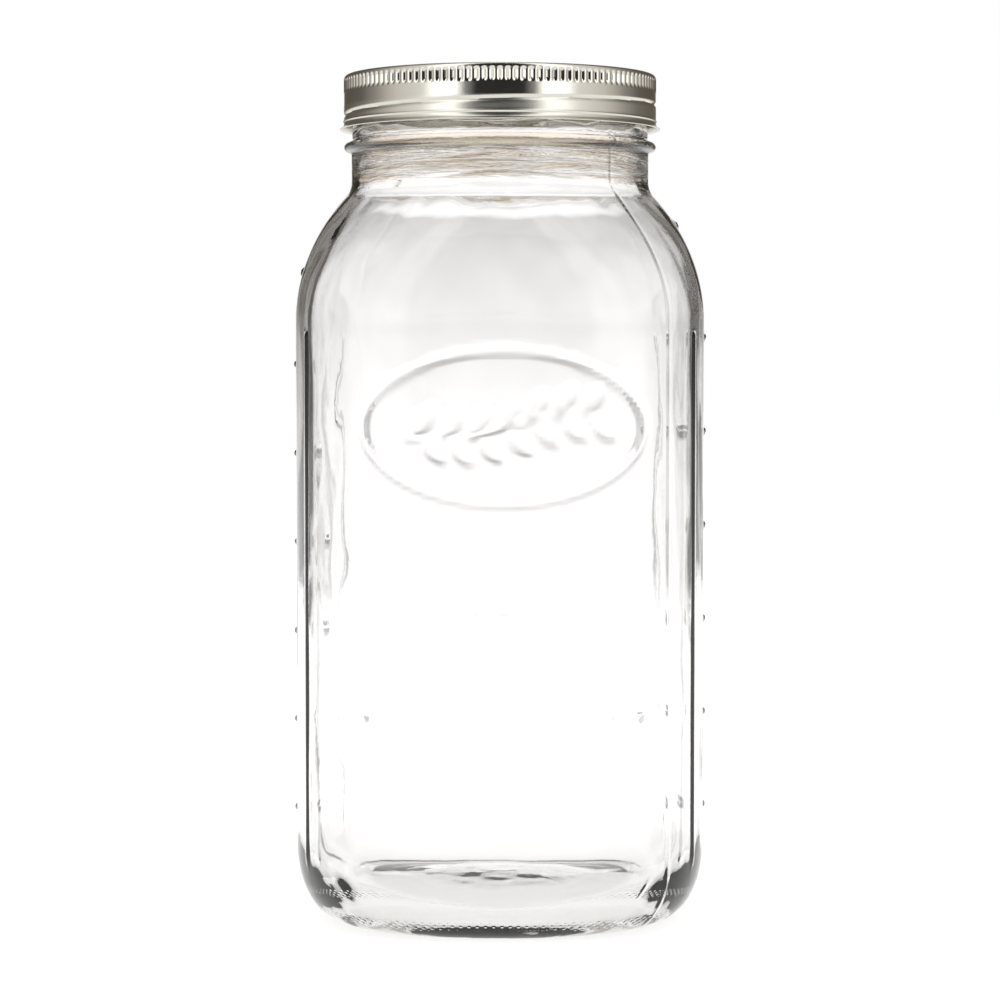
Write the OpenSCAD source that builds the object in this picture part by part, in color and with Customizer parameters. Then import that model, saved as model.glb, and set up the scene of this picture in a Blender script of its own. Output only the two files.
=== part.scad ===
// Half-gallon wide-mouth canning jar with a two-piece screw closure.
// Millimetres. Origin at the centre of the base, +Z up through the mouth, front towards -Y.

/* [Jar body] */
// Width of the body across its flat sides
body_w = 113.4; // [106:0.1:122]
// Squareness of the body's section, where 2 is round and 4 is nearly square
squareness = 2.8; // [2:0.1:4]
// Thickness of the side wall and the shoulder
wall_t = 3.7; // [3.2:0.1:5]
// Height at which the shoulder starts to turn in
shoulder_z = 165.5; // [150:0.5:168]
// Radius of the shoulder's outward curve
shoulder_r = 51; // [46:0.5:56]
// Radius of the inward curve between shoulder and neck
neck_fillet_r = 6; // [4:0.5:8]
// Height of the rounded heel
heel_h = 20.5; // [16:0.5:24]
// How far the heel turns in at the base
heel_in = 12; // [9:0.5:14]

/* [Base] */
// Height of the inside floor's edge above the bench
floor_z = 5.5; // [4.5:0.1:7]
// Radius of the inside floor
floor_r = 39; // [34:0.5:40]
// How far the inside floor rises to its middle
floor_rise = 3.5; // [1:0.1:4]
// Height of the rounded corner between floor and wall, inside
floor_fillet_h = 17.5; // [12:0.5:22]
// Depth of the hollow under the base
push_up = 4.5; // [2:0.1:5]
// Radius of the hollow under the base, where it meets the bench
push_up_r = 41; // [36:0.5:42]

/* [Marks] */
// Number of measuring marks on each side
mark_count = 7; // [2:1:7]
// Height of the lowest cup mark
cup_mark_z = 29.6; // [28:0.1:34]
// Distance between two cup marks
cup_mark_step = 24.8; // [20:0.1:25]
// Distance from the last of those to the top cup mark, on the shoulder
cup_mark_top_step = 25.9; // [20:0.1:27]
// Height of the lowest 250 ml mark
litre_mark_z = 30.3; // [28:0.1:34]
// Distance between two 250 ml marks
litre_mark_step = 26.2; // [20:0.1:26.5]
// Distance from the last of those to the top 250 ml mark, on the shoulder
litre_mark_top_step = 31.5; // [20:0.1:33]
// Length of a mark
mark_w = 9; // [5:0.5:12]
// Thickness of a mark
mark_t = 1.4; // [0.8:0.1:2]
// How far the marks stand out from the wall
mark_relief = 0.6; // [0.3:0.1:1]

/* [Side ribs] */
// Distance of the upright ribs from the middle of each side panel
rib_y = 32; // [31:0.5:36]
// Height of the ribs' lower end
rib_bottom_z = 22; // [21:0.5:40]
// Height of the ribs' upper end
rib_top_z = 162; // [120:0.5:164]
// Width of a rib where its section is round
rib_w = 2.2; // [1.6:0.1:3]
// How far the ribs stand out from the wall
rib_relief = 0.6; // [0.3:0.1:0.9]

/* [Neck finish] */
// Outer diameter of the neck under the bead
neck_d = 82.9; // [82.5:0.1:83.3]
// Diameter of the mouth
mouth_d = 76.8; // [75:0.1:78]
// Diameter of the neck between the thread's turns
thread_root_d = 82.5; // [82:0.1:82.6]
// Diameter over the glass thread
thread_d = 85.6; // [84.8:0.1:85.7]
// Rise of the thread in one turn
pitch = 6.35; // [6:0.05:6.6]
// Turns of thread on the glass
thread_turns = 1.4; // [1.1:0.1:1.4]
// Height of the bead under the band
bead_z = 213.9; // [211:0.1:214.5]
// Diameter over the bead under the band
bead_d = 87.1; // [86:0.1:88]

/* [Closure] */
// Height of the closed jar, from bench to flange
total_h = 233.8; // [233:0.1:235]
// Height of the screw band
band_h = 15.1; // [14.6:0.1:15.3]
// Thickness of the band's sheet
band_t = 0.3; // [0.28:0.01:0.34]
// Inner diameter of the band's wall
band_bore_d = 86.5; // [86.4:0.05:86.7]
// Inner diameter of the band's rolled thread
band_thread_d = 84.3; // [84:0.1:84.6]
// Turns of thread rolled into the band
band_turns = 0.85; // [0.6:0.05:0.85]
// Diameter of the hole in the band's flange
band_hole_d = 71.2; // [70:0.2:72]
// Diameter over the band's bottom curl
curl_d = 89.4; // [89:0.1:90]
// Number of flutes in the knurl
flute_count = 130; // [90:1:150]
// Height of the knurl
knurl_h = 3.6; // [3:0.1:4]
// Diameter of the lid
lid_d = 85.4; // [85:0.1:85.5]
// Thickness of the lid's sheet
lid_t = 0.25; // [0.22:0.01:0.3]
// Depth of the panel below the lid's rim
panel_depth = 1.05; // [0.8:0.05:1.2]
// Thickness of the sealing compound under the rim
seal_t = 0.7; // [0.5:0.05:0.8]

/* [Hidden] */
$fn = 96;

// Faceted surfaces: sides of the body's section, and thread steps in one turn
SIDES = 48;
TURN_STEPS = 48;

glass = [0.82, 0.88, 0.87, 0.45];
tinplate = [0.78, 0.79, 0.80];
compound = [0.45, 0.24, 0.17];

half_w = body_w / 2;
neck_r = neck_d / 2;
mouth_r = mouth_d / 2;

// The shoulder's arc and the neck fillet's arc touch each other, and the fillet's touches the neck
shoulder_cx = half_w - shoulder_r;
fillet_cx = neck_r + neck_fillet_r;
fillet_z = shoulder_z + sqrt(pow(shoulder_r + neck_fillet_r, 2) - pow(fillet_cx - shoulder_cx, 2));
shoulder_angle = atan2(fillet_z - shoulder_z, fillet_cx - shoulder_cx);

// The closure hangs from its flange, with the lid under it and the glass lip under the lid
lid_gap = 0.05;
lid_top = total_h - band_t - lid_gap;
seal_top = lid_top - lid_t;
lip_z = seal_top - seal_t;
band_z = total_h - band_h;

// A thread's height is given where it passes the -X side, half a turn from +X
band_thread_z = band_z + 4.95;
band_start = -0.22;
thread_rise = 2.25;
thread_bottom_z = lip_z - 2.7 - thread_turns * pitch;

// Point on a circle, and an arc of such points
function on_arc(cx, cz, r, a) = [cx + r * cos(a), cz + r * sin(a)];
function arc(cx, cz, r, from, to, steps = 6) =
    [for (i = [0:steps]) on_arc(cx, cz, r, from + (to - from) * i / steps)];

// Radius of a rounded-square section, half_width across its flats, in direction a
function section_r(a, half_width, power) =
    half_width / pow(pow(abs(cos(a)), power) + pow(abs(sin(a)), power), 1 / power);

// Loft through rings, each given as [half width, height, power]
module loft(rings) {
    last = len(rings) - 1;
    points = [
        for (ring = rings, i = [0:SIDES - 1])
            let (a = 360 * i / SIDES, r = section_r(a, ring[0], ring[2]))
            [r * cos(a), r * sin(a), ring[1]]
    ];
    sides = [
        for (k = [0:last - 1], i = [0:SIDES - 1])
            let (j = (i + 1) % SIDES)
            [k * SIDES + i, (k + 1) * SIDES + i, (k + 1) * SIDES + j, k * SIDES + j]
    ];
    bottom = [for (i = [0:SIDES - 1]) i];
    top = [for (i = [SIDES - 1:-1:0]) last * SIDES + i];
    polyhedron(points, concat([bottom, top], sides), convexity = 4);
}

// Smooth step from 0 to 1
function ease(t) = t <= 0 ? 0 : t >= 1 ? 1 : t * t * (3 - 2 * t);

// How far a thread has risen out of the wall at step i of n, from 0 at its ends to 1
function fade(i, n) = ease(min(i, n - i) / 5);

// Thread ridge that climbs anticlockwise. The section is half_widths against shares of the depth,
// the height is that of the ridge's middle where it passes the -X side.
module helix(base_r, depth, half_widths, shares, z_at_left, start, turns) {
    n = round(turns * TURN_STEPS);
    count = len(shares);
    points = [
        for (i = [0:n], j = [0:count - 1])
            let (
                turn = start + turns * i / n,
                out = sign(depth) * max(0.02, abs(depth) * shares[j] * fade(i, n)),
                r = base_r + (shares[j] == 0 ? 0 : out)
            )
            [
                -r * cos(360 * turn),
                -r * sin(360 * turn),
                z_at_left + pitch * turn + half_widths[j]
            ]
    ];
    rings = [
        for (i = [0:n - 1], j = [0:count - 1])
            let (k = (j + 1) % count)
            [i * count + j, i * count + k, (i + 1) * count + k, (i + 1) * count + j]
    ];
    first = [for (j = [count - 1:-1:0]) j];
    end = [for (j = [0:count - 1]) n * count + j];
    faces = concat([first, end], rings);
    flip = depth < 0;
    polyhedron(points, [for (f = faces) flip ? [for (q = [len(f) - 1:-1:0]) f[q]] : f], convexity = 6);
}

// Outside of the jar up to the neck
module body_outside() {
    heel = [
        for (i = [0:7])
            let (a = 90 * i / 8)
            [half_w - heel_in * (1 - sin(a)), heel_h * (1 - cos(a)),
             2 + (squareness - 2) * (0.4 + 0.6 * sin(a))]
    ];
    shoulder = [
        for (i = [0:9])
            let (a = shoulder_angle * i / 9)
            [shoulder_cx + shoulder_r * cos(a), shoulder_z + shoulder_r * sin(a),
             2 + (squareness - 2) * ease(1 - i / 9)]
    ];
    fillet = [
        for (i = [1:3])
            let (a = shoulder_angle * (1 - i / 3.4))
            [fillet_cx - neck_fillet_r * cos(a), fillet_z - neck_fillet_r * sin(a), 2]
    ];
    tucked_in = [[neck_r - 0.6, fillet_z - 0.2, 2]];
    loft(concat(heel, [[half_w, heel_h, squareness]], shoulder, fillet, tucked_in));
}

// Space inside the jar up to the mouth
module body_inside() {
    inner_w = half_w - wall_t;
    fillet_w = inner_w - floor_r;
    inner_r = shoulder_r - wall_t;
    corner = [
        for (i = [0:8])
            let (a = 90 * i / 8)
            [floor_r + fillet_w * sin(a), floor_z + floor_fillet_h * (1 - cos(a)),
             2 + (squareness - 2) * sin(a)]
    ];
    reach = acos((mouth_r - 1.2 - shoulder_cx) / inner_r);
    shoulder = [
        for (i = [0:9])
            let (a = reach * i / 9)
            [shoulder_cx + inner_r * cos(a), shoulder_z + inner_r * sin(a),
             2 + (squareness - 2) * ease(1 - i / 9)]
    ];
    difference() {
        loft(concat(corner, shoulder));
        ball_cap(floor_z + floor_rise, floor_rise, floor_r - 2);
    }
}

// Neck, bead and lip as one turned shape, still solid in the middle
module finish() {
    root_r = thread_root_d / 2;
    bead_r = 1.3;
    lip_outer_r = 0.8;
    lip_inner_r = 1;
    foot_z = fillet_z - 4;
    rotate_extrude()
        polygon(concat(
            [[0, foot_z], [neck_r, foot_z], [neck_r, bead_z - bead_r]],
            arc(bead_d / 2 - bead_r, bead_z, bead_r, -90, 90, 8),
            [[root_r + 0.5, bead_z + bead_r], [root_r, bead_z + bead_r + 0.5]],
            arc(root_r - lip_outer_r, lip_z - lip_outer_r, lip_outer_r, 0, 90),
            arc(mouth_r + 0.8, lip_z - lip_inner_r, lip_inner_r, 90, 180),
            [[0, lip_z - lip_inner_r]]
        ));
}

module glass_thread() {
    root_r = thread_root_d / 2 - 0.65;
    helix(root_r, thread_d / 2 - root_r, [-1.5, -0.55, 0.55, 1.5], [0, 1, 1, 0],
          band_thread_z + thread_rise,
          (thread_bottom_z - band_thread_z - thread_rise) / pitch, thread_turns);
}

// Large ball whose top is at height z and whose cap has a height and a radius
module ball_cap(z, height, radius) {
    ball_r = (height * height + radius * radius) / (2 * height);
    translate([0, 0, z - ball_r]) sphere(r = ball_r);
}

// Half width of the body at a height, and how far its wall leans in there
function wall_x(z) =
    z < shoulder_z ? half_w : shoulder_cx + sqrt(pow(shoulder_r, 2) - pow(z - shoulder_z, 2));
function wall_lean(z) = z < shoulder_z ? 0 : asin((z - shoulder_z) / shoulder_r);

// Bar with a ridged section that stands out from the +X side at height z
module raised_bar(z) {
    sunk = 1;
    translate([wall_x(z), mark_w / 2, z])
        rotate([90, -wall_lean(z), 0])
            linear_extrude(mark_w)
                polygon([
                    [-sunk, -mark_t / 2], [0, -mark_t / 2], [mark_relief, -mark_t / 5],
                    [mark_relief, mark_t / 5], [0, mark_t / 2], [-sunk, mark_t / 2]
                ]);
}

// Marks at equal steps, with a wider step to the top one where the shoulder narrows
module mark_scale(bottom_z, step, top_step) {
    last = mark_count - 2;
    for (i = [0:last]) raised_bar(bottom_z + step * i);
    raised_bar(bottom_z + step * last + top_step);
}

module marks() {
    mark_scale(litre_mark_z, litre_mark_step, litre_mark_top_step);
    rotate([0, 0, 180]) mark_scale(cup_mark_z, cup_mark_step, cup_mark_top_step);
}

// Upright ribs that frame the two side panels
module side_ribs() {
    rib_r = rib_w / 2;
    rib_x = half_w * pow(1 - pow(rib_y / half_w, squareness), 1 / squareness) - rib_r + rib_relief;
    for (side = [-1, 1], end = [-1, 1])
        translate([side * rib_x, end * rib_y, rib_bottom_z]) {
            cylinder(r = rib_r, h = rib_top_z - rib_bottom_z);
            sphere(r = rib_r);
            translate([0, 0, rib_top_z - rib_bottom_z]) sphere(r = rib_r);
        }
}

module glass_jar() {
    color(glass)
        difference() {
            union() {
                body_outside();
                finish();
                glass_thread();
                marks();
                side_ribs();
            }
            body_inside();
            translate([0, 0, shoulder_z + 28]) cylinder(r = mouth_r, h = total_h - shoulder_z);
            ball_cap(push_up, push_up, push_up_r);
        }
}

// Lid: rim, channel for the compound, sunk panel, raised ring and centre button
module lid_disc() {
    r = lid_d / 2;
    t = lid_t;
    panel_z = lid_top - panel_depth;
    ring_z = panel_z + 0.35;
    skirt_z = lid_top - 1.15;
    wall_in = 0.22;
    top = [
        [r, skirt_z], [r, lid_top - t], [r - t, lid_top],
        [37.4, lid_top], [36.9, panel_z], [27, panel_z], [26.3, ring_z],
        [10.5, ring_z], [9, ring_z + 0.32], [5, ring_z + 0.5], [0, ring_z + 0.56]
    ];
    under = [
        [0, ring_z + 0.56 - t], [5, ring_z + 0.5 - t], [9, ring_z + 0.32 - t],
        [10.5 + wall_in / 2, ring_z - t], [26.3 + wall_in, ring_z - t],
        [27 + wall_in / 2, panel_z - t], [36.9 + wall_in, panel_z - t],
        [37.4 + wall_in, lid_top - t], [r - t, lid_top - t], [r - t, skirt_z]
    ];
    color(tinplate) rotate_extrude() polygon(concat(top, under));
}

module sealing_ring() {
    inner = 37.8;
    outer = lid_d / 2 - lid_t - 0.25;
    color(compound)
        rotate_extrude()
            polygon([
                [inner, seal_top], [inner, lip_z + 0.25], [inner + 0.3, lip_z],
                [outer - 0.3, lip_z], [outer, lip_z + 0.25], [outer, seal_top]
            ]);
}

// Sheet section of the band: wall, necked top for the knurl, rounded shoulder, flange and curl
module band_sheet() {
    inner = band_bore_d / 2;
    outer = inner + band_t;
    neck_in = inner - 0.2;
    knurl_top = total_h - 1.3;
    knurl_z = knurl_top - knurl_h;
    shoulder_out = 1;
    bend_r = neck_in + 0.4 - shoulder_out;
    hole = band_hole_d / 2;
    curl_out = curl_d / 2;
    curl_r = (curl_out - inner) / 2;
    curl_cx = inner + curl_r;
    rotate_extrude()
        polygon(concat(
            [[inner, band_z + curl_r], [inner, knurl_z - 0.5], [neck_in, knurl_z - 0.2]],
            arc(bend_r, total_h - shoulder_out, shoulder_out - 0.4, 0, 80),
            [
                [bend_r, total_h - band_t], [hole + 0.3, total_h - band_t],
                [hole + 0.3, total_h - 0.85], [hole, total_h - 0.85],
                [hole, total_h - 0.15], [hole + 0.15, total_h]
            ],
            arc(bend_r, total_h - shoulder_out, shoulder_out, 90, 0),
            [
                [neck_in + 0.4, knurl_top + 0.2], [neck_in + 0.2, knurl_top - 0.15],
                [neck_in + 0.2, knurl_z + 0.15], [outer, knurl_z - 0.2],
                [outer, band_z + 2.5], [outer + 0.12, band_z + 2.35], [outer, band_z + 2.2]
            ],
            arc(curl_cx, band_z + 1.9 - curl_r, curl_r, 70, 0),
            arc(curl_cx, band_z + curl_r, curl_r, 0, -170, 10)
        ));
}

// Fluted ring that stands on the necked top of the sheet
module knurl() {
    inner = band_bore_d / 2 - 0.1;
    valley = band_bore_d / 2 + 0.07;
    crest = band_bore_d / 2 + band_t;
    step = 180 / flute_count;
    translate([0, 0, total_h - 1.3 - knurl_h])
        linear_extrude(knurl_h)
            difference() {
                polygon([
                    for (i = [0:2 * flute_count - 1])
                        let (r = i % 2 == 0 ? crest : valley)
                        [r * cos(i * step), r * sin(i * step)]
                ]);
                circle(r = inner);
            }
}

module screw_band() {
    inner = band_bore_d / 2;
    depth = inner - band_thread_d / 2 + 0.15;
    widths = [-1.15, -0.72, 0, 0.72, 1.15];
    shares = [0, 0.66, 1, 0.66, 0];
    color(tinplate)
        difference() {
            union() {
                band_sheet();
                knurl();
                helix(inner + 0.15, -depth, widths, shares, band_thread_z, band_start, band_turns);
            }
            helix(inner + 0.5, -depth, widths * 0.85, shares, band_thread_z, band_start, band_turns);
        }
}

glass_jar();
lid_disc();
sealing_ring();
screw_band();
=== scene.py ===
"""Canning jar of clear glass, with a flat lid and a screw band as separate pieces."""

import math

import bmesh
import bpy
import numpy as np
from bpy.props import FloatProperty, FloatVectorProperty, IntProperty, PointerProperty
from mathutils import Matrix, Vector, noise


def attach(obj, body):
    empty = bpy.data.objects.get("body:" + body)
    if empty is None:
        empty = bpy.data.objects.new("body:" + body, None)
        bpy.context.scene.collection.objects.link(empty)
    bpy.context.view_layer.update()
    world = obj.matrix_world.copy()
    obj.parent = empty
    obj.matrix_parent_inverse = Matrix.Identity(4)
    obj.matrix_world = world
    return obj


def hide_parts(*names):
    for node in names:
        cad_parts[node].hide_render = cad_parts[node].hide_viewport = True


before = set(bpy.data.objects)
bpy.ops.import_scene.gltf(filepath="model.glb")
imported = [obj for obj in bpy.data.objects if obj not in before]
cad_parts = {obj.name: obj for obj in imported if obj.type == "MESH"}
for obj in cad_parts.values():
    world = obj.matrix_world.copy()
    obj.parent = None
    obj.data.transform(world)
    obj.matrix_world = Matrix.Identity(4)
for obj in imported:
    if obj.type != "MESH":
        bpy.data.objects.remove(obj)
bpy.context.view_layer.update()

bl_info = {
    "name": "Canning jar",
    "version": (1, 0, 0),
    "blender": (4, 5, 0),
    "location": "View3D > Sidebar > Canning jar",
    "description": "Makes a glass canning jar with a lid, sealing ring and screw band",
    "category": "Add Mesh",
}

MM = 0.001
TURN = 2 * math.pi
MERGE = 1e-7

# Numbers of the Mix node's sockets for colours.
MIX_SHARE, MIX_ONE, MIX_TWO, MIX_RESULT = 0, 6, 7, 2

# Heights of the measuring marks, in mm. The top step is wider, on the shoulder.
CUP_MARKS = [29.6 + 24.8 * i for i in range(6)] + [179.5]
LITRE_MARKS = [30.3 + 26.2 * i for i in range(6)] + [192.8]
MARK_HALF = 4.5
MARK_THICK = 1.6
RIB_Y = 32.0
RIB_HALF = 1.3
RIB_SPAN = (17.0, 163.0)
SEAM_ANGLES = (math.radians(-44), math.radians(136))
SEAM_HEIGHT = 0.17

# The thread: rise in a turn, height at its middle, and how far it stands out, in mm.
THREAD_PITCH = 6.35
THREAD_MIDDLE = 225.9
THREAD_HEIGHT = 1.55
# The band's rolled thread: height where it would cross -X, and half its width, in mm.
ROLL_START = 222.6
ROLL_HALF = 0.42

MARK_HEIGHT = 0.85
FRONT_RIB_HEIGHT = 0.5
BACK_RIB_HEIGHT = 0.2


# ---------------------------------------------------------------- sizes and colours


class GlassSettings(bpy.types.PropertyGroup):
    """Sizes and colours of the glass jar."""

    half_width: FloatProperty(
        name="Half width",
        description="From the axis to the middle of a side panel",
        default=0.0567,
        subtype="DISTANCE",
        unit="LENGTH",
    )
    wall: FloatProperty(
        name="Wall",
        description="Thickness of the side wall",
        default=0.0037,
        subtype="DISTANCE",
        unit="LENGTH",
    )
    squareness: FloatProperty(
        name="Squareness",
        description="Exponent of the body's section, where 2 is round",
        default=2.8,
        min=2,
        max=4,
    )
    columns: IntProperty(
        name="Columns",
        description="Faces round the jar",
        default=252,
        min=120,
        max=280,
    )
    emboss: FloatProperty(
        name="Embossing",
        description="How far the pattern on the front stands out",
        default=0.0008,
        subtype="DISTANCE",
        unit="LENGTH",
    )
    waviness: FloatProperty(
        name="Waviness",
        description="How uneven the blown inner surface is",
        default=0.00028,
        subtype="DISTANCE",
        unit="LENGTH",
    )
    tint: FloatVectorProperty(
        name="Tint",
        description="Colour that thick glass takes on",
        default=(0.80, 0.78, 0.72),
        subtype="COLOR",
        min=0,
        max=1,
    )


class ClosureSettings(bpy.types.PropertyGroup):
    """Sizes and colours of the lid, its sealing ring and the band."""

    flutes: IntProperty(
        name="Flutes",
        description="Flutes of the knurl round the band",
        default=130,
        min=60,
        max=160,
    )
    flute_depth: FloatProperty(
        name="Flute depth",
        description="Depth of the knurl",
        default=0.00048,
        subtype="DISTANCE",
        unit="LENGTH",
    )
    groove_depth: FloatProperty(
        name="Rolled thread",
        description="How far the rolled thread goes in",
        default=0.00045,
        subtype="DISTANCE",
        unit="LENGTH",
    )
    tinplate: FloatVectorProperty(
        name="Tinplate",
        description="Colour of the satin tinplate",
        default=(0.70, 0.68, 0.615),
        subtype="COLOR",
        min=0,
        max=1,
    )
    compound: FloatVectorProperty(
        name="Compound",
        description="Colour of the sealing compound",
        default=(0.33, 0.12, 0.07),
        subtype="COLOR",
        min=0,
        max=1,
    )


class StudioSettings(bpy.types.PropertyGroup):
    """The floor, the light and the camera."""

    distance: FloatProperty(
        name="Camera distance",
        description="From the camera to the jar's axis",
        default=0.85,
        subtype="DISTANCE",
        unit="LENGTH",
    )
    eye_height: FloatProperty(
        name="Camera height",
        description="Height of the camera above the floor",
        default=0.155,
        subtype="DISTANCE",
        unit="LENGTH",
    )
    aim_height: FloatProperty(
        name="Aim height",
        description="Height on the jar's axis at the middle of the picture",
        default=0.1155,
        subtype="DISTANCE",
        unit="LENGTH",
    )
    view_width: FloatProperty(
        name="View width",
        description="Width of the picture at the jar",
        default=0.281,
        subtype="DISTANCE",
        unit="LENGTH",
    )


# ---------------------------------------------------------------- shader nodes


class Wire:
    """A node's output in a sum: each operator adds the Math node that it needs."""

    def __init__(self, socket):
        self.socket = socket

    def math(self, operation, *others, first=None):
        tree = self.socket.id_data
        node = tree.nodes.new("ShaderNodeMath")
        node.operation = operation
        values = (self, *others) if first is None else (first, self)
        for slot, value in zip(node.inputs, values):
            plug(tree, slot, value)
        return Wire(node.outputs[0])

    def __add__(self, other):
        return self.math("ADD", other)

    def __sub__(self, other):
        return self.math("SUBTRACT", other)

    def __rsub__(self, other):
        return self.math("SUBTRACT", first=other)

    def __mul__(self, other):
        return self.math("MULTIPLY", other)

    def __truediv__(self, other):
        return self.math("DIVIDE", other)

    def __rtruediv__(self, other):
        return self.math("DIVIDE", first=other)

    __radd__ = __add__
    __rmul__ = __mul__


def plug(tree, slot, value):
    """Links a wire to a socket, or sets the socket to a plain value."""
    if isinstance(value, Wire):
        tree.links.new(value.socket, slot)
    else:
        slot.default_value = value


class Finish:
    """A material made of nodes, all of them but the sums added by one method."""

    def __init__(self, name):
        self.material = bpy.data.materials.new(name)
        self.material.use_nodes = True
        self.tree = self.material.node_tree
        self.tree.nodes.clear()

    def add(self, kind, stops=(), inputs=None, **settings):
        """Adds a node: its settings first, then a ramp's stops, then its sockets."""
        node = self.tree.nodes.new(kind)
        for key, value in settings.items():
            setattr(node, key, value)
        if stops:
            marks = node.color_ramp.elements
            while len(marks) < len(stops):
                marks.new(0.5)
            for mark, (place, colour) in zip(marks, stops):
                mark.position = place
            for mark, (place, colour) in zip(marks, stops):
                mark.color = (*colour, 1)
        for key, value in (inputs or {}).items():
            plug(self.tree, node.inputs[key], value)
        return node

    def node(self, kind, out=0, **details):
        """Adds a node and gives one of its outputs."""
        return Wire(self.add(kind, **details).outputs[out])

    def place(self):
        return self.node("ShaderNodeTexCoord", out="Object")

    def axes(self, vector):
        """The three numbers of a vector."""
        split = self.add("ShaderNodeSeparateXYZ", inputs={"Vector": vector})
        return [Wire(socket) for socket in split.outputs]

    def noise(self, vector, scale, detail=3.0, roughness=0.5, distortion=0.0):
        return self.node(
            "ShaderNodeTexNoise",
            inputs={
                "Vector": vector,
                "Scale": scale,
                "Detail": detail,
                "Roughness": roughness,
                "Distortion": distortion,
            },
        )

    def stretch(self, vector, scale):
        return self.node(
            "ShaderNodeMapping", inputs={"Vector": vector, "Scale": scale}
        )

    def ramp(self, value, low, high, start=0.0, end=1.0, kind="SMOOTHSTEP"):
        """Goes from start to end as the value goes from low to high."""
        return self.node(
            "ShaderNodeMapRange",
            interpolation_type=kind,
            inputs={
                "Value": value,
                "From Min": low,
                "From Max": high,
                "To Min": start,
                "To Max": end,
            },
        )

    def near(self, value, centre, full, none, peak=1.0):
        """Peak within a distance full of the centre, and 0 beyond the distance none."""
        return self.ramp((value - centre).math("ABSOLUTE"), full, none, peak, 0.0)

    def blend(self, share, one, two):
        """Mixes two colours."""
        one, two = (c if isinstance(c, Wire) else (*c, 1) for c in (one, two))
        return self.node(
            "ShaderNodeMix",
            out=MIX_RESULT,
            data_type="RGBA",
            inputs={MIX_SHARE: share, MIX_ONE: one, MIX_TWO: two},
        )

    def bump(self, height, distance):
        return self.node(
            "ShaderNodeBump",
            inputs={"Height": height, "Distance": distance, "Strength": 1.0},
        )

    def surface(self, shader, **more):
        """Ends the material with its shader, and with a volume if there is one."""
        self.add("ShaderNodeOutputMaterial", inputs={"Surface": shader, **more})
        return self.material


def glass_finish(tint):
    """Clear pressed glass: faint ripples, a stippled heel, streaks with a warm brown
    tint in the neck, painted refraction as an amber tint on the bead, and a warm grey
    depth."""
    dot_pitch, dots_round = 0.0016, 150
    heel_height, heel_radius = 0.0042, 0.044
    neck_height, bead_height = 0.209, 0.2139
    f = Finish("clear_jar_glass")
    place = f.place()
    x, y, z = f.axes(place)
    ripple = f.noise(f.stretch(place, (1, 1, 0.35)), 55, detail=2)
    grain = f.noise(place, 420, detail=3)
    streak = f.noise(f.stretch(place, (1, 1, 14)), 36, detail=4, distortion=0.5)
    around = y.math("ARCTAN2", x)
    dots = (around * dots_round).math("SINE") * (z * (TURN / dot_pitch)).math("SINE")
    heel = f.near(z, heel_height, 0.0009, 0.0016)
    heel = heel * (x * x + y * y).math("GREATER_THAN", heel_radius**2)
    neck = f.near(z, neck_height, 0.004, 0.0085)
    relief = ripple * 0.9 + grain * 0.02 + dots.math("MAXIMUM", 0) * heel * 0.1
    relief = relief + streak * neck * 1.6
    # A warm brown tint along the streaks in the neck.
    warm = f.ramp(streak, 0.47, 0.66, kind="LINEAR")
    # Painted refraction: an amber tint on the bead stands in for the warm colour the
    # bead refracts from around it. It is not a colour of the glass.
    bead_painted_refraction = f.near(z, bead_height, 0.0010, 0.0018, peak=0.8)
    colour = f.blend(ripple, (0.996, 0.993, 0.993), (0.982, 0.978, 0.979))
    colour = f.blend(warm * neck, colour, (0.80, 0.70, 0.58))
    colour = f.blend(bead_painted_refraction, colour, (0.93, 0.85, 0.74))
    shader = f.node(
        "ShaderNodeBsdfPrincipled",
        inputs={
            "Base Color": colour,
            "Roughness": grain * 0.012,
            "IOR": 1.5,
            "Transmission Weight": 1.0,
            "Normal": f.bump(relief, 0.0003),
        },
    )
    depth = f.node(
        "ShaderNodeVolumeAbsorption",
        out="Volume",
        inputs={"Color": (*tint, 1), "Density": 9.0},
    )
    return f.surface(shader, Volume=depth)


def tinplate_finish(name, colour, grain_scale, roughness, polished=1.0):
    """Satin tinplate: a fine rolled grain, small stains and a faint orange peel.
    It is smoother within 4 mm of the height polished."""
    f = Finish(name)
    place = f.place()
    z = f.axes(place)[2]
    rolled = f.noise(f.stretch(place, grain_scale), 900, detail=4, roughness=0.6)
    bright = f.near(z, polished, 0.0036, 0.0044, peak=0.14)
    stain = f.noise(place, 70, detail=4, roughness=0.6)
    peel = f.noise(place, 1400, detail=2)
    dull = tuple(c * 0.86 for c in colour)
    shader = f.node(
        "ShaderNodeBsdfPrincipled",
        inputs={
            "Base Color": f.blend(stain * 0.7 + rolled * 0.3, colour, dull),
            "Metallic": 1.0,
            "Roughness": stain * 0.10 + rolled * 0.06 - bright + (roughness - 0.08),
            "Normal": f.bump(rolled * 0.6 + peel * 0.4, 0.000012),
        },
    )
    return f.surface(shader)


def compound_finish(colour):
    """Moulded sealing compound: matt, a little mottled."""
    f = Finish("sealing_compound")
    mottle = f.noise(f.place(), 260, detail=4, roughness=0.6)
    dark = tuple(c * 0.7 for c in colour)
    shader = f.node(
        "ShaderNodeBsdfPrincipled",
        inputs={
            "Base Color": f.blend(mottle, colour, dark),
            "Roughness": mottle * 0.2 + 0.45,
            "Normal": f.bump(mottle, 0.00006),
        },
    )
    return f.surface(shader)


# ---------------------------------------------------------------- mesh helpers


def smooth(low, high, value):
    """0 below low, 1 above high and an S-curve between them, for arrays too."""
    t = np.clip((value - low) / (high - low), 0, 1)
    return t * t * (3 - 2 * t)


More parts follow.
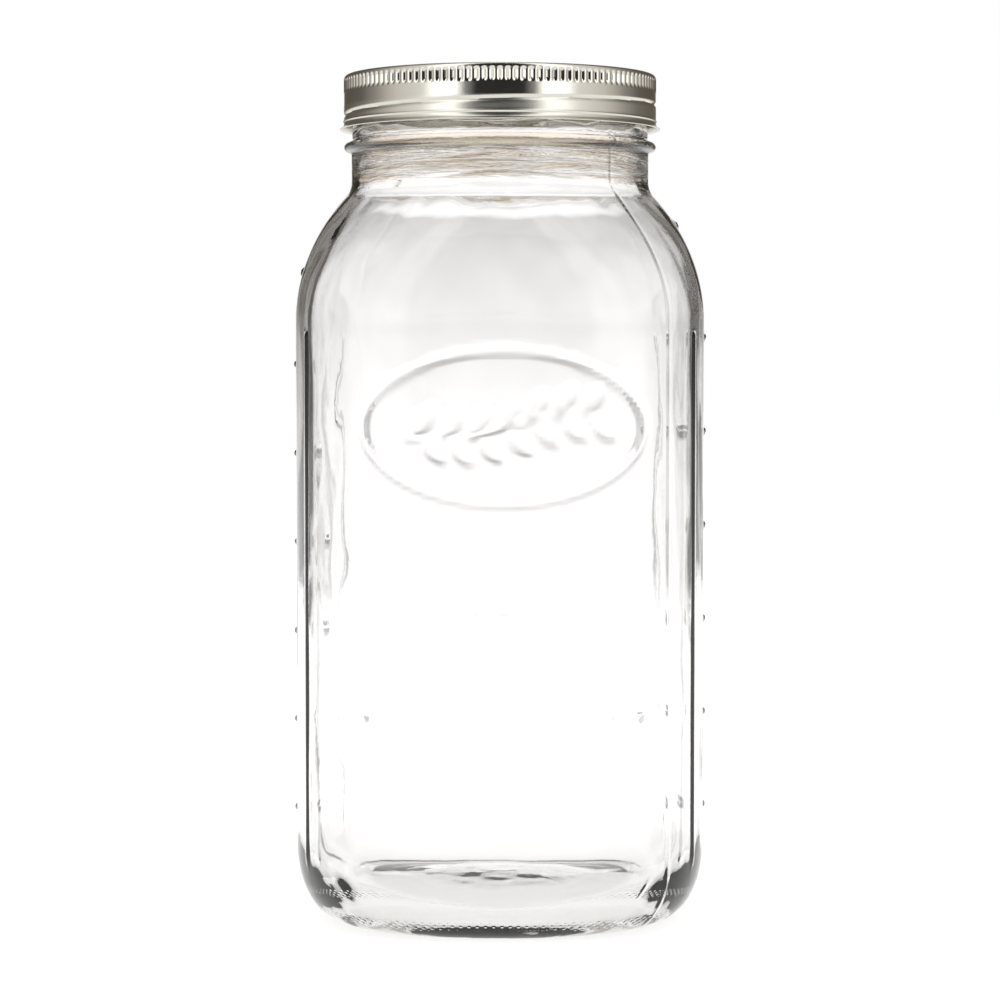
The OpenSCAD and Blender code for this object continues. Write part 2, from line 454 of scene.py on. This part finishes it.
def lathe(rows, steps, loop):
    """Spins a section of (radius, height) rows, in mm, into a closed shell round Z.
    Each vertex keeps its row's number in the attribute "row"."""
    bm = bmesh.new()
    number = bm.verts.layers.int.new("row")
    section = []
    for i, (radius, height) in enumerate(rows):
        vert = bm.verts.new((radius * MM, 0, height * MM))
        vert[number] = i
        section.append(vert)
    ends = section + section[:1] if loop else section
    edges = [bm.edges.new(pair) for pair in zip(ends, ends[1:])]
    bmesh.ops.spin(
        bm,
        geom=section + edges,
        cent=(0, 0, 0),
        axis=(0, 0, 1),
        angle=TURN,
        steps=steps,
        use_merge=True,
    )
    bmesh.ops.remove_doubles(bm, verts=bm.verts, dist=MERGE)
    bmesh.ops.recalc_face_normals(bm, faces=bm.faces)
    return bm


def make_piece(name, bm, move, body, material, replaces, sharp=None):
    """Makes the mesh an object, moves its vertices, and hands it to the frame."""
    mesh = bpy.data.meshes.new(name)
    bm.to_mesh(mesh)
    bm.free()
    count = len(mesh.vertices)
    if move:
        points = np.empty(count * 3)
        mesh.vertices.foreach_get("co", points)
        rows = np.empty(count, dtype=np.int32)
        mesh.attributes["row"].data.foreach_get("value", rows)
        points = move(points.reshape(-1, 3) / MM, rows) * MM
        mesh.vertices.foreach_set("co", points.ravel())
    mesh.attributes.remove(mesh.attributes["row"])
    mesh.shade_smooth()
    if sharp is not None:
        mesh.set_sharp_from_angle(angle=sharp)
    mesh.update()
    mesh.materials.append(material)
    piece = bpy.data.objects.new(name, mesh)
    bpy.context.scene.collection.objects.link(piece)
    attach(piece, body)
    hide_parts(replaces)
    return piece


# ---------------------------------------------------------------- glass jar


def wall_heights():
    """Heights up the straight wall: close together at each mark, wider between them."""
    marks = CUP_MARKS + LITRE_MARKS
    heights, z = [], 20.5
    while z < 164.9:
        heights.append(z)
        near = min(abs(z - m) for m in marks) < 1.35
        z += 0.45 if near else 1.32
    return heights


def jar_rows(glass):
    """The glass section from the middle of the base up the outside, over the lip and
    down the inside to the middle of the floor. A row is half width, height,
    squareness, and 1 on the inside."""
    w = glass.half_width / MM
    wall = glass.wall / MM
    extra = glass.squareness - 2
    rows = []
    cap_r, cap_h = 41.0, 4.5
    cap = (cap_r**2 + cap_h**2) / (2 * cap_h)
    for r in (0, 5, 10, 15, 20, 25, 29, 32.5, 35.5, 38, 40):
        rows.append((r, cap_h - cap + math.sqrt(cap**2 - r**2), 2, 0))
    rows.append((40.8, 0.1, 2, 0))
    rows.append((41.6, 0.0, 2.05, 0))
    rows.append((43.4, 0.0, 2.2, 0))
    for i in range(16):
        a = math.radians(90 * i / 16)
        squareness = 2 + extra * (0.4 + 0.6 * math.sin(a))
        rows.append(
            (w - 12 * (1 - math.sin(a)), 20.5 * (1 - math.cos(a)), squareness, 0)
        )
    for z in wall_heights():
        rows.append((w, z, 2 + extra, 0))
    arc_r, arc_w, arc_z, arc_end = 51.0, 5.7, 165.5, 42.9
    for i in range(35):
        t = arc_end * i / 34
        squareness = 2 + extra * float(smooth(0, 1, 1 - t / arc_end))
        a = math.radians(t)
        rows.append(
            (
                w - arc_r + arc_r * math.cos(a),
                arc_z + arc_r * math.sin(a),
                squareness,
                0,
            )
        )
    for i in range(1, 9):
        a = math.radians(180 + arc_end * (1 - i / 8))
        rows.append((47.45 + 6 * math.cos(a), 204.3 + 6 * math.sin(a), 2, 0))
    for z in (206.5, 208.7, 210.8, 211.9):
        rows.append((41.45, z, 2, 0))
    rows.append((41.6, 212.35, 2, 0))
    for i in range(9):
        a = math.radians(-80 + 20 * i)
        rows.append((42.2 + 1.35 * math.cos(a), 213.9 + 1.3 * math.sin(a), 2, 0))
    rows.append((41.5, 215.5, 2, 0))
    z = 216.2
    while z < 231.4:
        rows.append((41.25, z, 2, 0))
        z += 0.46 if z > 219 else 0.9
    for i in range(5):
        a = math.radians(90 * i / 4)
        rows.append((40.45 + 0.8 * math.cos(a), 231.7 + 0.8 * math.sin(a), 2, 0))
    for i in range(5):
        a = math.radians(90 + 90 * i / 4)
        rows.append((39.4 + 1.0 * math.cos(a), 231.5 + 1.0 * math.sin(a), 2, 1))
    for i in range(29):
        rows.append((38.4, 230 - i, 2, 1))
    inner_w, inner_r = w - wall, arc_r - wall
    inner_end = math.degrees(math.acos((38.4 - arc_w) / inner_r))
    for i in range(18):
        t = (inner_end - 1.6) * (1 - i / 17)
        squareness = 2 + extra * float(smooth(0, 1, 1 - t / inner_end))
        a = math.radians(t)
        rows.append(
            (
                inner_w - inner_r + inner_r * math.cos(a),
                arc_z + inner_r * math.sin(a),
                squareness,
                1,
            )
        )
    floor_z, floor_r, corner_h, rise = 5.5, 39.0, 17.5, 3.5
    for i in range(1, 25):
        z = arc_z - (arc_z - floor_z - corner_h) * i / 25
        rows.append((inner_w, z, 2 + extra, 1))
    for i in range(12):
        a = math.radians(90 * (1 - i / 12))
        rows.append(
            (
                floor_r + (inner_w - floor_r) * math.sin(a),
                floor_z + corner_h * (1 - math.cos(a)),
                2 + extra * math.sin(a),
                1,
            )
        )
    for r in (39, 37, 35, 33, 31, 29.5, 28, 26, 23, 20, 17, 14, 11, 8, 5, 0):
        rows.append((r, floor_z + rise * float(smooth(38, 6, r)), 2, 1))
    return rows


def column_angles(columns):
    """Where each column stands: close together on the front, the marks, the ribs and
    the mould seams, wider apart on the back."""
    fine = np.linspace(-math.pi, math.pi, 7201)
    rib = math.atan2(RIB_Y, 52.3)
    weight = 0.62 + 0.85 * smooth(0.95, 0.8, np.abs(fine + math.pi / 2))
    for centre in (0, math.pi, -math.pi):
        weight += 0.5 * smooth(0.13, 0.09, np.abs(fine - centre))
    for centre in (rib, -rib, math.pi - rib, rib - math.pi):
        weight += 1.5 * smooth(0.055, 0.035, np.abs(fine - centre))
    for centre in SEAM_ANGLES:
        weight += 1.0 * smooth(0.035, 0.02, np.abs(fine - centre))
    total = np.concatenate(([0], np.cumsum((weight[1:] + weight[:-1]) / 2)))
    share = np.arange(columns) / columns
    return np.interp(share, total / total[-1], fine)


def stroke(distance, half, soft):
    """Height of a rounded line: 1 along it, 0 beyond its half width."""
    return smooth(half + soft, half - soft, distance)


def leaf(x, z, at, angle, length, width):
    """Height of a pointed leaf that starts at a point and runs at an angle."""
    c, s = math.cos(angle), math.sin(angle)
    u = (x - at[0]) * c + (z - at[1]) * s
    v = -(x - at[0]) * s + (z - at[1]) * c
    inside = width * np.sin(np.clip(u / length, 0, 1) * math.pi)
    blade = smooth(-0.4, 1.1, inside - np.abs(v)) * ((u > 0) & (u < length))
    vein = stroke(np.abs(v), 0.25, 0.6) * 0.35
    return blade * (1 - vein)


def front_pattern(x, z):
    """Raised pattern of the front panel: an oval with a leafy sprig, a row of beads and
    a row of lozenges. Values run from 0 to 1."""
    cx, cz, a, b = 1.0, 137.0, 37.0, 20.0
    ex, ez = (x - cx) / a, (z - cz) / b
    level = np.sqrt(ex**2 + ez**2) + 1e-6
    slope = np.sqrt((ex / a) ** 2 + (ez / b) ** 2) / level
    away = np.abs(level - 1) / np.maximum(slope, 1e-4)
    height = stroke(away, 0.9, 0.8)
    stem = cz + 3.2 * np.sin((x - cx) / 11)
    on_stem = stroke(np.abs(z - stem), 0.5, 0.7) * smooth(27, 25, np.abs(x - cx))
    height = np.maximum(height, on_stem)
    for i in range(-3, 4):
        sx = cx + i * 7.4 - 2
        sz = cz + 3.2 * math.sin((sx - cx) / 11)
        height = np.maximum(height, leaf(x, z, (sx, sz), 0.95, 10.5, 2.5))
        height = np.maximum(height, leaf(x, z, (sx + 2.6, sz), -0.8, 10.0, 2.4))
    for i in range(-2, 3):
        r = 2.9 - 0.35 * abs(i)
        d = np.hypot(x - cx - 7.2 * i, z - 90)
        height = np.maximum(height, np.sqrt(np.clip(1 - (d / r) ** 2, 0, 1)))
    for i in range(-5, 6):
        d = np.abs(x - cx - 7.4 * i) / 2.6 + np.abs(z - 61.5) / 3.7
        height = np.maximum(height, smooth(1.0, 0.55, d))
    return height


def jar_mover(glass):
    """Turns the round spin into the rounded-square jar with its relief and waviness."""
    rows = np.array(jar_rows(glass))
    angles = column_angles(glass.columns)
    wave = glass.waviness / MM
    emboss = glass.emboss / MM

    def move(points, row):
        half, z, squareness, inside = rows[row].T
        turned = np.arctan2(points[:, 1], points[:, 0]) % TURN
        column = np.round(turned / TURN * glass.columns).astype(int) % glass.columns
        a = angles[column]
        c, s = np.abs(np.cos(a)), np.abs(np.sin(a))
        r = half / (c**squareness + s**squareness) ** (1 / squareness)
        x, y = r * np.cos(a), r * np.sin(a)
        out = inside < 0.5
        lift = np.zeros(len(a))
        # Measuring marks in the middle of the two side panels.
        for sign, heights in ((-1, CUP_MARKS), (1, LITRE_MARKS)):
            side = out & (np.sign(x) == sign) & (np.abs(y) < MARK_HALF + 1)
            for height in heights:
                dz = np.abs(z - height)
                shape = np.sqrt(np.clip(1 - (dz / (MARK_THICK / 2 + 0.25)) ** 2, 0, 1))
                shape *= smooth(MARK_HALF + 0.4, MARK_HALF - 0.8, np.abs(y))
                lift = np.maximum(lift, np.where(side, MARK_HEIGHT * shape, 0))
        # Upright ribs that frame the side panels.
        rib = stroke(np.abs(np.abs(y) - RIB_Y), RIB_HALF * 0.6, RIB_HALF * 0.5)
        rib *= smooth(RIB_SPAN[0], RIB_SPAN[0] + 2.5, z)
        rib *= smooth(RIB_SPAN[1], RIB_SPAN[1] - 1.6, z)
        rib *= np.where(y < 0, FRONT_RIB_HEIGHT, BACK_RIB_HEIGHT)
        lift += np.where(out & (np.abs(x) > 40), rib, 0)
        # Mould seams at two corners, from the heel to the bead.
        for centre in SEAM_ANGLES:
            gap = np.abs(a - centre) * r
            seam = smooth(0.9, 0.1, gap) * smooth(1.5, 4, z) * smooth(217, 215, z)
            lift += np.where(out, SEAM_HEIGHT * seam, 0)
        # Raised pattern on the front.
        front = out & (y < 0) & (np.abs(x) < 44) & (z > 50) & (z < 162)
        lift += np.where(front, emboss * front_pattern(x, z), 0)
        # Thread: right-handed, 1.4 turns.
        for k in (-1, 0, 1):
            t = ((a - math.pi) / TURN + 0.5) % 1 - 0.5 + k
            dz = np.abs(z - THREAD_MIDDLE - THREAD_PITCH * t)
            ridge = smooth(1.55, 0.5, dz) * smooth(-0.80, -0.74, t)
            ridge *= smooth(0.62, 0.56, t)
            threaded = out & (z > 217) & (z < 231.6)
            lift += np.where(threaded, THREAD_HEIGHT * ridge, 0)
        # Blown surfaces are never quite even.
        uneven = np.array(
            [
                noise.noise(Vector((px / 17, py / 17, pz / 42 + 7)))
                + 0.45 * noise.noise(Vector((px / 7 + 40, py / 7, pz / 11)))
                for px, py, pz in zip(x, y, z)
            ]
        )
        body = smooth(232, 200, z)
        floor = (~out) & (z < 9.6) & (half < 38)
        neck = (~out) & (z > 196) & (z < 229)
        radial = np.where(out, 0.1, 1.0) * wave * uneven * body
        hoops = np.sin(z * 1.5 + 4.5 * uneven) * (0.05 + 0.10 * uneven)
        radial += np.where(neck, hoops * smooth(196, 202, z) * smooth(229, 224, z), 0)
        rings = np.sin(half * 1.1 + 2.5 * uneven) * 0.22 * smooth(31, 28, half)
        z = z + np.where(floor, rings + 0.3 * uneven, 0)
        r = np.where(half > 0, r + lift + np.where(floor, 0, radial), 0)
        return np.stack((r * np.cos(a), r * np.sin(a), z), axis=1)

    return move


# ---------------------------------------------------------------- closure


BAND_R = 43.55


def band_rows():
    """The band's closed sheet section, as radius and height: the rows up the outside
    and over the flange, then the rows back down the inside."""
    outside = [
        (44.45, 218.72),
        (44.68, 218.8),
        (44.72, 218.95),
        (44.45, 219.12),
        (44.1, 219.3),
        (43.82, 219.6),
        (43.66, 219.95),
        (43.57, 220.3),
        (43.55, 220.55),
        (43.6, 220.75),
        (43.74, 220.95),
        (43.76, 221.1),
        (43.62, 221.25),
        (43.55, 221.4),
    ]
    z = 221.75
    while z < 228.45:
        outside.append((BAND_R, z))
        z += 0.37
    outside += [(BAND_R, 228.6)]
    outside += [(BAND_R, 228.8 + 3.75 * i / 10) for i in range(11)]
    for i in range(7):
        a = math.radians(90 * i / 6)
        outside.append((42.6 + 0.95 * math.cos(a), 232.85 + 0.95 * math.sin(a)))
    outside += [(41.5, 233.8), (39.5, 233.8), (37.2, 233.8), (36.4, 233.76)]
    outside += [(35.95, 233.6), (35.72, 233.35), (35.6, 233.0)]
    inside = [
        (35.85, 232.95),
        (36.0, 233.2),
        (36.3, 233.4),
        (37.2, 233.5),
        (40.0, 233.5),
        (42.3, 233.5),
        (42.95, 233.2),
        (43.05, 232.6),
        (43.05, 230.8),
        (43.05, 228.9),
        (43.2, 228.4),
    ]
    inside += [(43.25, 227.9 - 0.6 * i) for i in range(12)]
    inside += [(43.27, 220.5), (43.35, 219.8), (43.6, 219.3), (43.95, 218.95)]
    return outside, inside


def band_mover(closure):
    """Presses the knurl and the rolled thread into the spun band."""
    depth = closure.flute_depth / MM
    groove = closure.groove_depth / MM
    outer_count = len(band_rows()[0])

    def move(points, row):
        x, y, z = points.T
        r = np.hypot(x, y)
        a = np.arctan2(y, x) % TURN
        outer = row < outer_count
        zone = smooth(228.7, 229.5, z) * smooth(232.75, 231.9, z)
        wave = 0.5 + 0.5 * np.cos(closure.flutes * a)
        r -= np.where(outer & (r > 43), depth * (1 - wave**0.5) * zone, 0)
        for k in (0, 1):
            t = (a - math.pi) / TURN + k
            dz = z - ROLL_START - THREAD_PITCH * t
            press = np.exp(-((dz / ROLL_HALF) ** 2))
            press *= smooth(-0.22, -0.10, t) * smooth(0.63, 0.53, t)
            press *= smooth(220.4, 221.6, z) * smooth(229.2, 228.2, z)
            r -= np.where(r > 43, groove * press, 0)
        return np.stack((r * np.cos(a), r * np.sin(a), z), axis=1)

    return move


def lid_rows():
    """The lid's closed sheet section: stepped panel, raised rings, button and rim."""
    top = [
        (0, 233.56),
        (3, 233.54),
        (6, 233.42),
        (8.5, 233.2),
        (9.8, 233.0),
        (10.6, 232.8),
        (11.2, 232.76),
        (12.2, 232.75),
        (18, 232.75),
        (24.5, 232.75),
        (25.6, 232.72),
        (26.1, 232.6),
        (26.5, 232.45),
        (27.2, 232.4),
        (31, 232.4),
        (35.9, 232.4),
        (36.6, 232.5),
        (37.0, 232.75),
        (37.25, 233.1),
        (37.6, 233.38),
        (38.2, 233.45),
        (40, 233.45),
        (41.9, 233.45),
        (42.4, 233.36),
        (42.65, 233.15),
        (42.7, 232.9),
        (42.7, 232.3),
    ]
    under = [
        (42.45, 232.3),
        (42.45, 232.9),
        (42.38, 233.08),
        (42.15, 233.18),
        (40, 233.2),
        (38.2, 233.2),
        (37.75, 233.1),
        (37.5, 232.8),
        (37.25, 232.45),
        (36.9, 232.22),
        (36.2, 232.15),
        (27.2, 232.15),
        (26.3, 232.2),
        (25.8, 232.45),
        (24.5, 232.5),
        (12.2, 232.5),
        (10.9, 232.52),
        (9.6, 232.72),
        (8.3, 232.95),
        (6, 233.16),
        (3, 233.29),
        (0, 233.31),
    ]
    return top + under


def ring_rows():
    """The sealing ring's section: flat under the lid, rounded on its lower corners."""
    inner, outer, low, high, corner = 37.8, 42.2, 232.5, 233.2, 0.25
    rows = [(inner + 0.05, high), (outer - 0.05, high), (outer, high - 0.08)]
    for i in range(5):
        a = math.radians(-90 * i / 4)
        rows.append(
            (outer - corner + corner * math.cos(a), low + corner + corner * math.sin(a))
        )
    for i in range(5):
        a = math.radians(-90 - 90 * i / 4)
        rows.append(
            (inner + corner + corner * math.cos(a), low + corner + corner * math.sin(a))
        )
    rows.append((inner, high - 0.08))
    return rows


# ---------------------------------------------------------------- operators


class CANNING_OT_glass_jar(bpy.types.Operator):
    """Make the glass jar with its thread, marks, ribs, seams and front pattern"""

    bl_idname = "canning.glass_jar"
    bl_label = "Glass jar"

    def execute(self, context):
        glass = context.scene.canning_glass
        section = [(half, z) for half, z, *rest in jar_rows(glass)]
        make_piece(
            "glass_jar_clear",
            lathe(section, glass.columns, loop=False),
            jar_mover(glass),
            "jar",
            glass_finish(glass.tint),
            "glass_jar",
        )
        return {"FINISHED"}


class CANNING_OT_lid(bpy.types.Operator):
    """Make the flat lid and the ring of sealing compound under its rim"""

    bl_idname = "canning.lid"
    bl_label = "Lid and sealing ring"

    def execute(self, context):
        closure = context.scene.canning_closure
        make_piece(
            "lid_disc_tinplate",
            lathe(lid_rows(), 192, loop=False),
            None,
            "lid",
            tinplate_finish("lid_tinplate", closure.tinplate, (1, 0.12, 1), 0.27),
            "lid_disc",
            sharp=math.radians(50),
        )
        make_piece(
            "sealing_ring_compound",
            lathe(ring_rows(), 192, loop=True),
            None,
            "lid",
            compound_finish(closure.compound),
            "sealing_ring",
            sharp=math.radians(50),
        )
        return {"FINISHED"}


class CANNING_OT_band(bpy.types.Operator):
    """Make the screw band with its knurl, rolled thread and turned-out edge"""

    bl_idname = "canning.band"
    bl_label = "Screw band"

    def execute(self, context):
        closure = context.scene.canning_closure
        outside, inside = band_rows()
        finish = tinplate_finish(
            "band_tinplate", closure.tinplate, (0.15, 0.15, 1), 0.24, polished=0.2293
        )
        make_piece(
            "screw_band_tinplate",
            lathe(outside + inside, closure.flutes * 6, loop=True),
            band_mover(closure),
            "band",
            finish,
            "screw_band",
            sharp=math.radians(60),
        )
        return {"FINISHED"}


def both_sides(stops):
    """A ramp right round, 0 at -X, 0.25 at the front and 0.5 at +X, from stops at
    degrees from the front, one of which is 90."""
    right = [(0.25 + angle / 360, colour) for angle, colour in stops]
    left = [
        ((0.25 - angle / 360) % 1, colour) for angle, colour in stops if 0 < angle < 180
    ]
    seam = [(1.0, colour) for angle, colour in stops if angle == 90]
    return sorted(seam + right + left, key=lambda stop: stop[0])


WALL_GLOW = 3.0
CLEAR_LIGHT = 1.16
DUSK_SPAN = (0.055, 0.41)
FLOOR_DROP = 0.00002


def grey(level, warm=0.0):
    """A light's colour for a level, because the walls glow WALL_GLOW times over."""
    share = level / WALL_GLOW
    return (share, share * (1 - warm / 2), share * (1 - warm))


def studio_wall(name, radius, top, high, fades, stops, glossy, dusk=0.0):
    """A round wall of light about the jar that only reflections or refractions meet.
    Its stops give the brightness at angles from the front, alike to the left and right.
    It turns white from the heights fades, in front and behind, down to the floor, and
    over the heights DUSK_SPAN it turns grey by the share dusk."""
    front_fade, back_fade = fades
    f = Finish(name)
    place = f.place()
    y, z = f.axes(place)[1:]
    round_share = f.node(
        "ShaderNodeTexGradient",
        out="Fac",
        gradient_type="RADIAL",
        inputs={"Vector": place},
    )
    light = f.node(
        "ShaderNodeValToRGB", stops=both_sides(stops), inputs={"Fac": round_share}
    )
    fade = f.ramp(y / radius, -0.3, 0.3, front_fade, back_fade)
    light = f.blend(f.ramp(z, 0.0, fade), grey(1.0 if glossy else CLEAR_LIGHT), light)
    light = f.blend(f.ramp(z, *DUSK_SPAN, end=dusk), light, grey(0.2, 0.15))
    f.surface(
        f.node("ShaderNodeEmission", inputs={"Color": light, "Strength": WALL_GLOW})
    )
    bm = bmesh.new()
    bmesh.ops.create_cone(
        bm, cap_ends=False, segments=96, radius1=radius, radius2=top, depth=high
    )
    bmesh.ops.translate(bm, verts=bm.verts, vec=(0, 0, high / 2))
    wall = stage_piece(name, bm, f.material)
    wall.visible_camera = wall.visible_diffuse = wall.visible_shadow = False
    wall.visible_glossy = glossy
    wall.visible_transmission = not glossy


def stage_piece(name, bm, material):
    """Makes the mesh an object of the stage, which is no part of the jar."""
    mesh = bpy.data.meshes.new(name)
    bm.to_mesh(mesh)
    bm.free()
    mesh.materials.append(material)
    piece = bpy.data.objects.new(name, mesh)
    bpy.context.scene.collection.objects.link(piece)
    return piece


class CANNING_OT_studio(bpy.types.Operator):
    """Make the pale floor, the soft white light and the camera"""

    bl_idname = "canning.studio"
    bl_label = "Floor, light and camera"

    def execute(self, context):
        scene = context.scene
        studio = scene.canning_studio
        f = Finish("pale_floor")
        cloud = f.noise(f.place(), 6, detail=3)
        f.surface(
            f.node(
                "ShaderNodeBsdfPrincipled",
                inputs={
                    "Base Color": f.blend(cloud, (0.37,) * 3, (0.34,) * 3),
                    "Roughness": 0.9,
                    "Specular IOR Level": 0.1,
                    "Emission Color": (1, 0.995, 0.985, 1),
                    "Emission Strength": 0.82,
                },
            )
        )
        bm = bmesh.new()
        bmesh.ops.create_grid(bm, x_segments=1, y_segments=1, size=8)
        stage_piece("floor", bm, f.material).location.z = -FLOOR_DROP

        world = bpy.data.worlds.new("white_room")
        world.use_nodes = True
        background = world.node_tree.nodes["Background"]
        background.inputs["Color"].default_value = (1, 1, 1, 1)
        background.inputs["Strength"].default_value = 1.0
        scene.world = world

        dark, brown, white = grey(0.03), grey(0.13, 0.35), grey(1.0)
        lamp, clear = grey(1.9), grey(CLEAR_LIGHT)
        reflected = (
            (0, dark),
            (17, dark),
            (25, grey(0.35)),
            (32, lamp),
            (48, lamp),
            (57, grey(1.0)),
            (80, grey(0.8, 0.1)),
            (90, grey(0.6, 0.1)),
            (102, grey(0.35, 0.1)),
            (120, grey(0.16, 0.15)),
            (144, brown),
            (164, brown),
            (169, white),
            (180, white),
        )
        studio_wall(
            "studio_wall_reflected", 1.3, 0.3, 4.0, (0.26, 0.26), reflected, True
        )
        refracted = (
            (0, grey(0.08, 0.3)),
            (46, grey(0.08, 0.3)),
            (60, grey(0.5)),
            (70, clear),
            (90, clear),
            (102, clear),
            (113, grey(0.6, 0.12)),
            (123, grey(0.2, 0.25)),
            (130, dark),
            (149, dark),
            (153, grey(0.5, 0.03)),
            (160, grey(0.6, 0.03)),
            (163.5, clear),
            (180, clear),
        )
        studio_wall(
            "studio_wall_refracted", 1.0, 1.0, 1.7, (0.34, 0.03), refracted, False, 0.65
        )

        camera = bpy.data.cameras.new("camera")
        camera.sensor_width = 36
        reach = math.hypot(studio.distance, studio.eye_height - studio.aim_height)
        camera.lens = camera.sensor_width * reach / studio.view_width
        camera.clip_start, camera.clip_end = 0.01, 50
        eye = bpy.data.objects.new("camera", camera)
        eye.location = (0, -studio.distance, studio.eye_height)
        aim = Vector((0, 0, studio.aim_height)) - eye.location
        eye.rotation_mode = "QUATERNION"
        eye.rotation_quaternion = aim.to_track_quat("-Z", "Y")
        scene.collection.objects.link(eye)
        scene.camera = eye
        scene.view_settings.view_transform = "Standard"
        scene.cycles.max_bounces = scene.cycles.transmission_bounces = 24
        return {"FINISHED"}


class CANNING_PT_panel(bpy.types.Panel):
    """Lists the jar's pieces and settings"""

    bl_idname = "CANNING_PT_panel"
    bl_label = "Canning jar"
    bl_space_type = "VIEW_3D"
    bl_region_type = "UI"
    bl_category = "Canning jar"

    def draw(self, context):
        scene = context.scene
        groups = (scene.canning_glass, scene.canning_closure, scene.canning_studio)
        for group in groups:
            box = self.layout.box()
            for name in type(group).__annotations__:
                box.prop(group, name)
        for operator in OPERATORS:
            self.layout.operator(operator.bl_idname)


GROUPS = {
    "canning_glass": GlassSettings,
    "canning_closure": ClosureSettings,
    "canning_studio": StudioSettings,
}
OPERATORS = (
    CANNING_OT_studio,
    CANNING_OT_glass_jar,
    CANNING_OT_lid,
    CANNING_OT_band,
)


def register():
    for name, group in GROUPS.items():
        bpy.utils.register_class(group)
        setattr(bpy.types.Scene, name, PointerProperty(type=group))
    for cls in (*OPERATORS, CANNING_PT_panel):
        bpy.utils.register_class(cls)


def unregister():
    for cls in (CANNING_PT_panel, *reversed(OPERATORS)):
        bpy.utils.unregister_class(cls)
    for name, group in GROUPS.items():
        delattr(bpy.types.Scene, name)
        bpy.utils.unregister_class(group)


def main():
    register()
    bpy.ops.canning.studio()
    bpy.ops.canning.glass_jar()
    bpy.ops.canning.lid()
    bpy.ops.canning.band()


if __name__ == "__main__":
    main()
